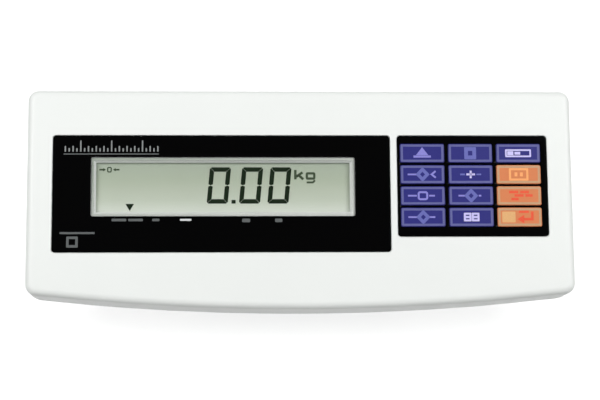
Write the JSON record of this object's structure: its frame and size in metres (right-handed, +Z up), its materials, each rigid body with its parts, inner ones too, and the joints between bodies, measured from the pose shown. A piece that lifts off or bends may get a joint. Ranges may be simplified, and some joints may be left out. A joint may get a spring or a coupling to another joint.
{
  "type": "weighing scale indicator head",
  "caption": "Wide tilting display and keypad head of a counting scale: segment display, block of push keys, clamped desk bracket behind.",
  "frame": {"origin": "centre of the bounding box in plan, on the plane the base pad stands on", "axes": "+X to the right of a person facing the display, +Y away from that person, +Z up"},
  "size_m": [0.3, 0.1441, 0.1279],
  "materials": {
    "case_white": "fine texture, off-white",
    "panel_black": "gloss black overlay",
    "lens_clear": "clear",
    "lcd_green": "grey-green liquid crystal cell",
    "diffuser_white": "satin diffuser",
    "key_blue": "satin",
    "key_orange": "satin",
    "board_green": "solder mask",
    "rubber_black": "matt",
    "rubber_grey": "matt silicone",
    "steel_bright": "plated",
    "brass": "machined",
    "bracket_paint": "fine powder coat, light grey",
    "plastic_black": "moulded",
    "battery_case": "moulded",
    "cable_grey": "ribbon insulation",
    "lead_red": "wire insulation",
    "lead_black": "wire insulation"
  },
  "bodies": {
    "bracket": {"tilt_bracket": "bracket_paint", "base_pad": "rubber_black"},
    "head": {"front_cover": "case_white", "rear_cover": "case_white", "display_panel": "panel_black", "keypad_panel": "panel_black", "display_lens": "lens_clear", "lcd_gasket": "rubber_black", "lcd_glass": "lcd_green", "lcd_frame": "plastic_black", "lcd_backlight": "diffuser_white", "display_board": "board_green", "keypad_board": "board_green", "main_board": "board_green", "key_mat": "rubber_grey", "key_switches": "steel_bright", "keypad_ribbon": "cable_grey", "display_ribbon": "cable_grey", "analog_shield": "steel_bright", "processor": "plastic_black", "buzzer": "plastic_black", "battery": "battery_case", "battery_pad": "rubber_black", "battery_lead_red": "lead_red", "battery_lead_black": "lead_black", "power_switch": "plastic_black", "power_inlet": "plastic_black", "serial_port": "steel_bright", "load_cell_socket": "steel_bright", "case_screw_1": "steel_bright", "case_screw_2": "steel_bright", "case_screw_3": "steel_bright", "case_screw_4": "steel_bright", "case_screw_5": "steel_bright", "case_screw_6": "steel_bright", "left_insert": "brass", "left_friction_disc": "rubber_black", "right_insert": "brass", "right_friction_disc": "rubber_black"},
    "battery_door": {"battery_door": "case_white"},
    "power_rocker": {"power_rocker": "plastic_black"},
    "left_washer": {"left_washer": "steel_bright"},
    "left_knob": {"left_knob": "plastic_black", "left_knob_stud": "steel_bright"},
    "right_washer": {"right_washer": "steel_bright"},
    "right_knob": {"right_knob": "plastic_black", "right_knob_stud": "steel_bright"},
    "key_1_1": {"key_1_1": "key_blue"},
    "key_1_2": {"key_1_2": "key_blue"},
    "key_1_3": {"key_1_3": "key_blue"},
    "key_2_1": {"key_2_1": "key_blue"},
    "key_2_2": {"key_2_2": "key_blue"},
    "key_2_3": {"key_2_3": "key_orange"},
    "key_3_1": {"key_3_1": "key_blue"},
    "key_3_2": {"key_3_2": "key_blue"},
    "key_3_3": {"key_3_3": "key_orange"},
    "key_4_1": {"key_4_1": "key_blue"},
    "key_4_2": {"key_4_2": "key_blue"},
    "key_4_3": {"key_4_3": "key_orange"}
  },
  "joints": [
    {"name": "head_tilt", "type": "hinge", "parent": "bracket", "child": "head", "pos_m": [0, 0.0081, 0.04923], "axis": [1, 0, 0], "range_deg": [-35, 12]},
    {"name": "left_knob_slide", "type": "slide", "parent": "bracket", "child": "left_washer", "axis": [-1, 0, 0], "range_m": [0, 0.0012]},
    {"name": "left_knob_turn", "type": "hinge", "parent": "left_washer", "child": "left_knob", "pos_m": [-0.069, 0.0081, 0.04923], "axis": [-1, 0, 0], "range_deg": [0, 540]},
    {"name": "right_knob_slide", "type": "slide", "parent": "bracket", "child": "right_washer", "axis": [1, 0, 0], "range_m": [0, 0.0012]},
    {"name": "right_knob_turn", "type": "hinge", "parent": "right_washer", "child": "right_knob", "pos_m": [0.069, 0.0081, 0.04923], "axis": [1, 0, 0], "range_deg": [0, 540]},
    {"name": "key_1_1_press", "type": "slide", "parent": "head", "child": "key_1_1", "axis": [0, 0.7071, -0.7071], "range_m": [0, 0.0008], "stiffness_N_per_m": 2500},
    {"name": "key_1_2_press", "type": "slide", "parent": "head", "child": "key_1_2", "axis": [0, 0.7071, -0.7071], "range_m": [0, 0.0008], "stiffness_N_per_m": 2500},
    {"name": "key_1_3_press", "type": "slide", "parent": "head", "child": "key_1_3", "axis": [0, 0.7071, -0.7071], "range_m": [0, 0.0008], "stiffness_N_per_m": 2500},
    {"name": "key_2_1_press", "type": "slide", "parent": "head", "child": "key_2_1", "axis": [0, 0.7071, -0.7071], "range_m": [0, 0.0008], "stiffness_N_per_m": 2500},
    {"name": "key_2_2_press", "type": "slide", "parent": "head", "child": "key_2_2", "axis": [0, 0.7071, -0.7071], "range_m": [0, 0.0008], "stiffness_N_per_m": 2500},
    {"name": "key_2_3_press", "type": "slide", "parent": "head", "child": "key_2_3", "axis": [0, 0.7071, -0.7071], "range_m": [0, 0.0008], "stiffness_N_per_m": 2500},
    {"name": "key_3_1_press", "type": "slide", "parent": "head", "child": "key_3_1", "axis": [0, 0.7071, -0.7071], "range_m": [0, 0.0008], "stiffness_N_per_m": 2500},
    {"name": "key_3_2_press", "type": "slide", "parent": "head", "child": "key_3_2", "axis": [0, 0.7071, -0.7071], "range_m": [0, 0.0008], "stiffness_N_per_m": 2500},
    {"name": "key_3_3_press", "type": "slide", "parent": "head", "child": "key_3_3", "axis": [0, 0.7071, -0.7071], "range_m": [0, 0.0008], "stiffness_N_per_m": 2500},
    {"name": "key_4_1_press", "type": "slide", "parent": "head", "child": "key_4_1", "axis": [0, 0.7071, -0.7071], "range_m": [0, 0.0008], "stiffness_N_per_m": 2500},
    {"name": "key_4_2_press", "type": "slide", "parent": "head", "child": "key_4_2", "axis": [0, 0.7071, -0.7071], "range_m": [0, 0.0008], "stiffness_N_per_m": 2500},
    {"name": "key_4_3_press", "type": "slide", "parent": "head", "child": "key_4_3", "axis": [0, 0.7071, -0.7071], "range_m": [0, 0.0008], "stiffness_N_per_m": 2500},
    {"name": "power_rocker_tip", "type": "hinge", "parent": "head", "child": "power_rocker", "pos_m": [0.105, 0.01277, 0.07285], "axis": [1, 0, 0], "range_deg": [0, 16]},
    {"name": "battery_door_slide", "type": "slide", "parent": "head", "child": "battery_door", "axis": [0, 0.7071, 0.7071], "range_m": [0, 0.03]}
  ],
  "couplings": [
    {"joint": "left_knob_turn", "follows": "left_knob_slide", "rad_per_m": 7854},
    {"joint": "right_knob_turn", "follows": "right_knob_slide", "rad_per_m": 7854}
  ]
}
